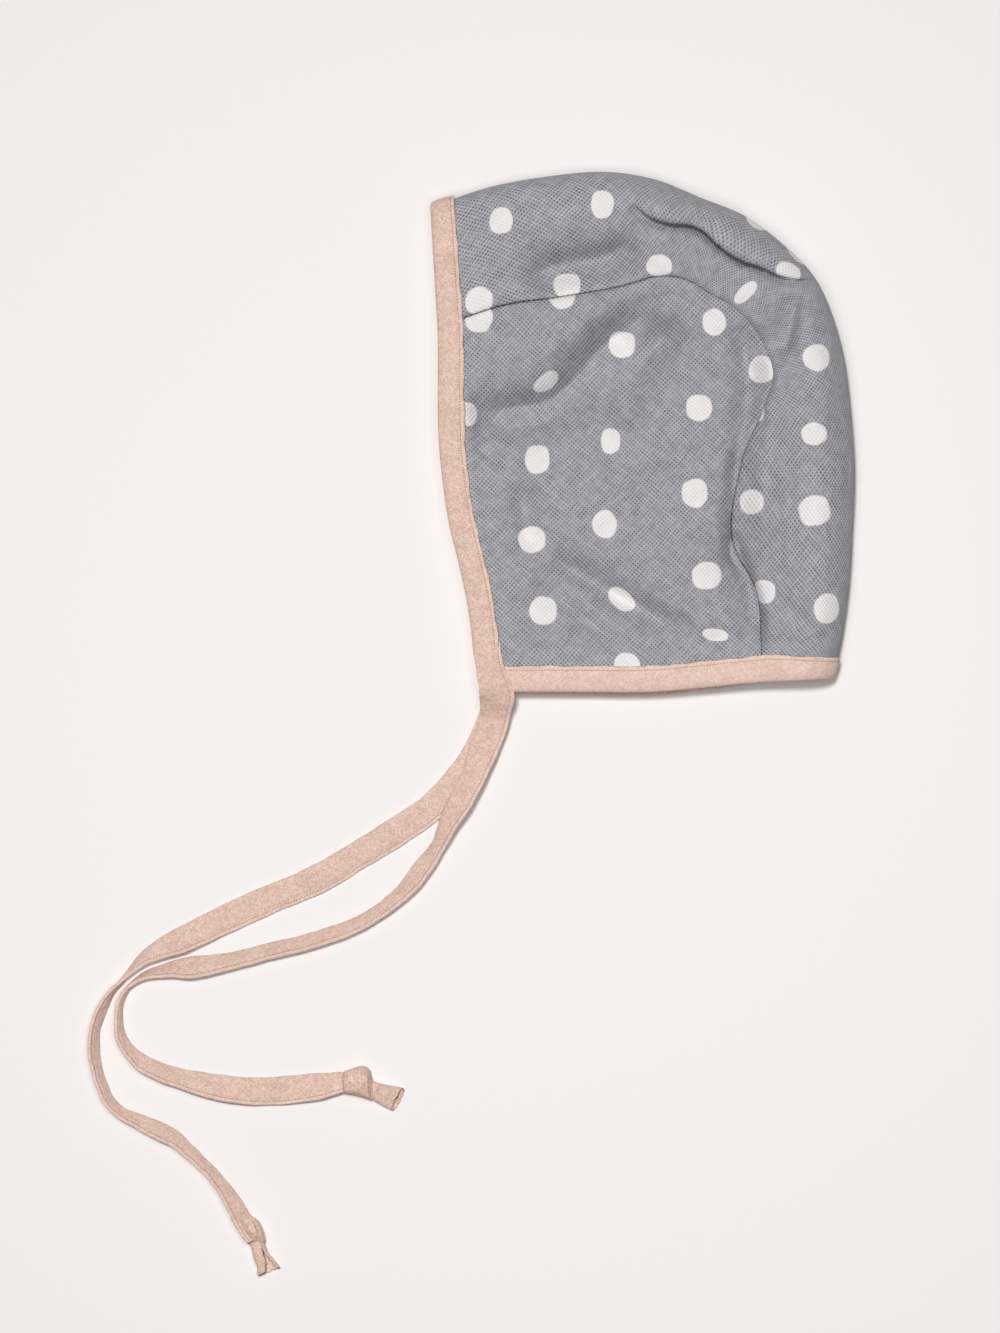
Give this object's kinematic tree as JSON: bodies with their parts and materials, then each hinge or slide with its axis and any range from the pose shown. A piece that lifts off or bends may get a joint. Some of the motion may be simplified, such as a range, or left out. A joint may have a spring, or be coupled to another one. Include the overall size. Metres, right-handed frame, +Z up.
{
  "type": "baby bonnet",
  "caption": "Soft dotted cloth baby bonnet lying on its side, with a linen-bound face edge and neck edge and long knotted ties.",
  "frame": {"origin": "on the surface, under the middle of the bonnet without its ties", "axes": "+X from the face edge to the back of the head, +Y from the neck edge to the crown, +Z up from the surface that the bonnet lies on"},
  "size_m": [0.2821, 0.4074, 0.026],
  "materials": {
    "dotted_muslin": "soft double gauze cotton, mid grey with scattered off-white spots",
    "linen_tape": "plain woven linen tape, dusty pink, edge stitched"
  },
  "bodies": {
    "root": {"near_side_panel": "dotted_muslin", "far_side_panel": "dotted_muslin", "centre_panel": "dotted_muslin", "face_binding": "linen_tape", "neck_binding": "linen_tape", "near_tie": "linen_tape", "far_tie": "linen_tape", "near_knot": "linen_tape", "far_knot": "linen_tape"}
  },
  "joints": []
}
